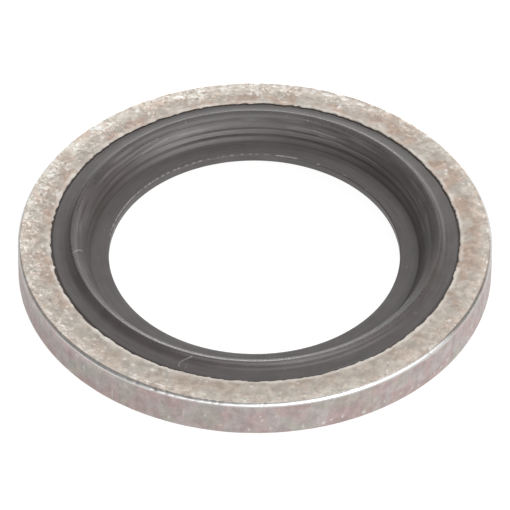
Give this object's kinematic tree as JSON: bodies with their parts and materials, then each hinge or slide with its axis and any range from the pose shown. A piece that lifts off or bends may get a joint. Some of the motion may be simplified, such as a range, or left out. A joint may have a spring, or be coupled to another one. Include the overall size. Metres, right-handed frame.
{
  "type": "sealing washer",
  "caption": "Flat steel ring with a black rubber seal moulded in its bore: a raised bead on each face and a thin centring lip, for sealing under a pipe fitting's shoulder.",
  "frame": {"origin": "centre of the ring on its axis, at mid-thickness; the lip's bore is on the same axis, its middle 0.14 mm lower", "axes": "+Z along the ring's axis out of one flat face; the ring is round, so +X and +Y are any two directions across it"},
  "size_m": [0.0238, 0.0238, 0.0028],
  "materials": {
    "plated_steel": "dull zinc plate on stamped steel, warm grey, mottled and slightly pitted",
    "nitrile_rubber": "satin black moulded nitrile with fine concentric tool marks"
  },
  "bodies": {
    "root": {"steel_ring": "plated_steel", "rubber_seal": "nitrile_rubber"}
  },
  "joints": []
}
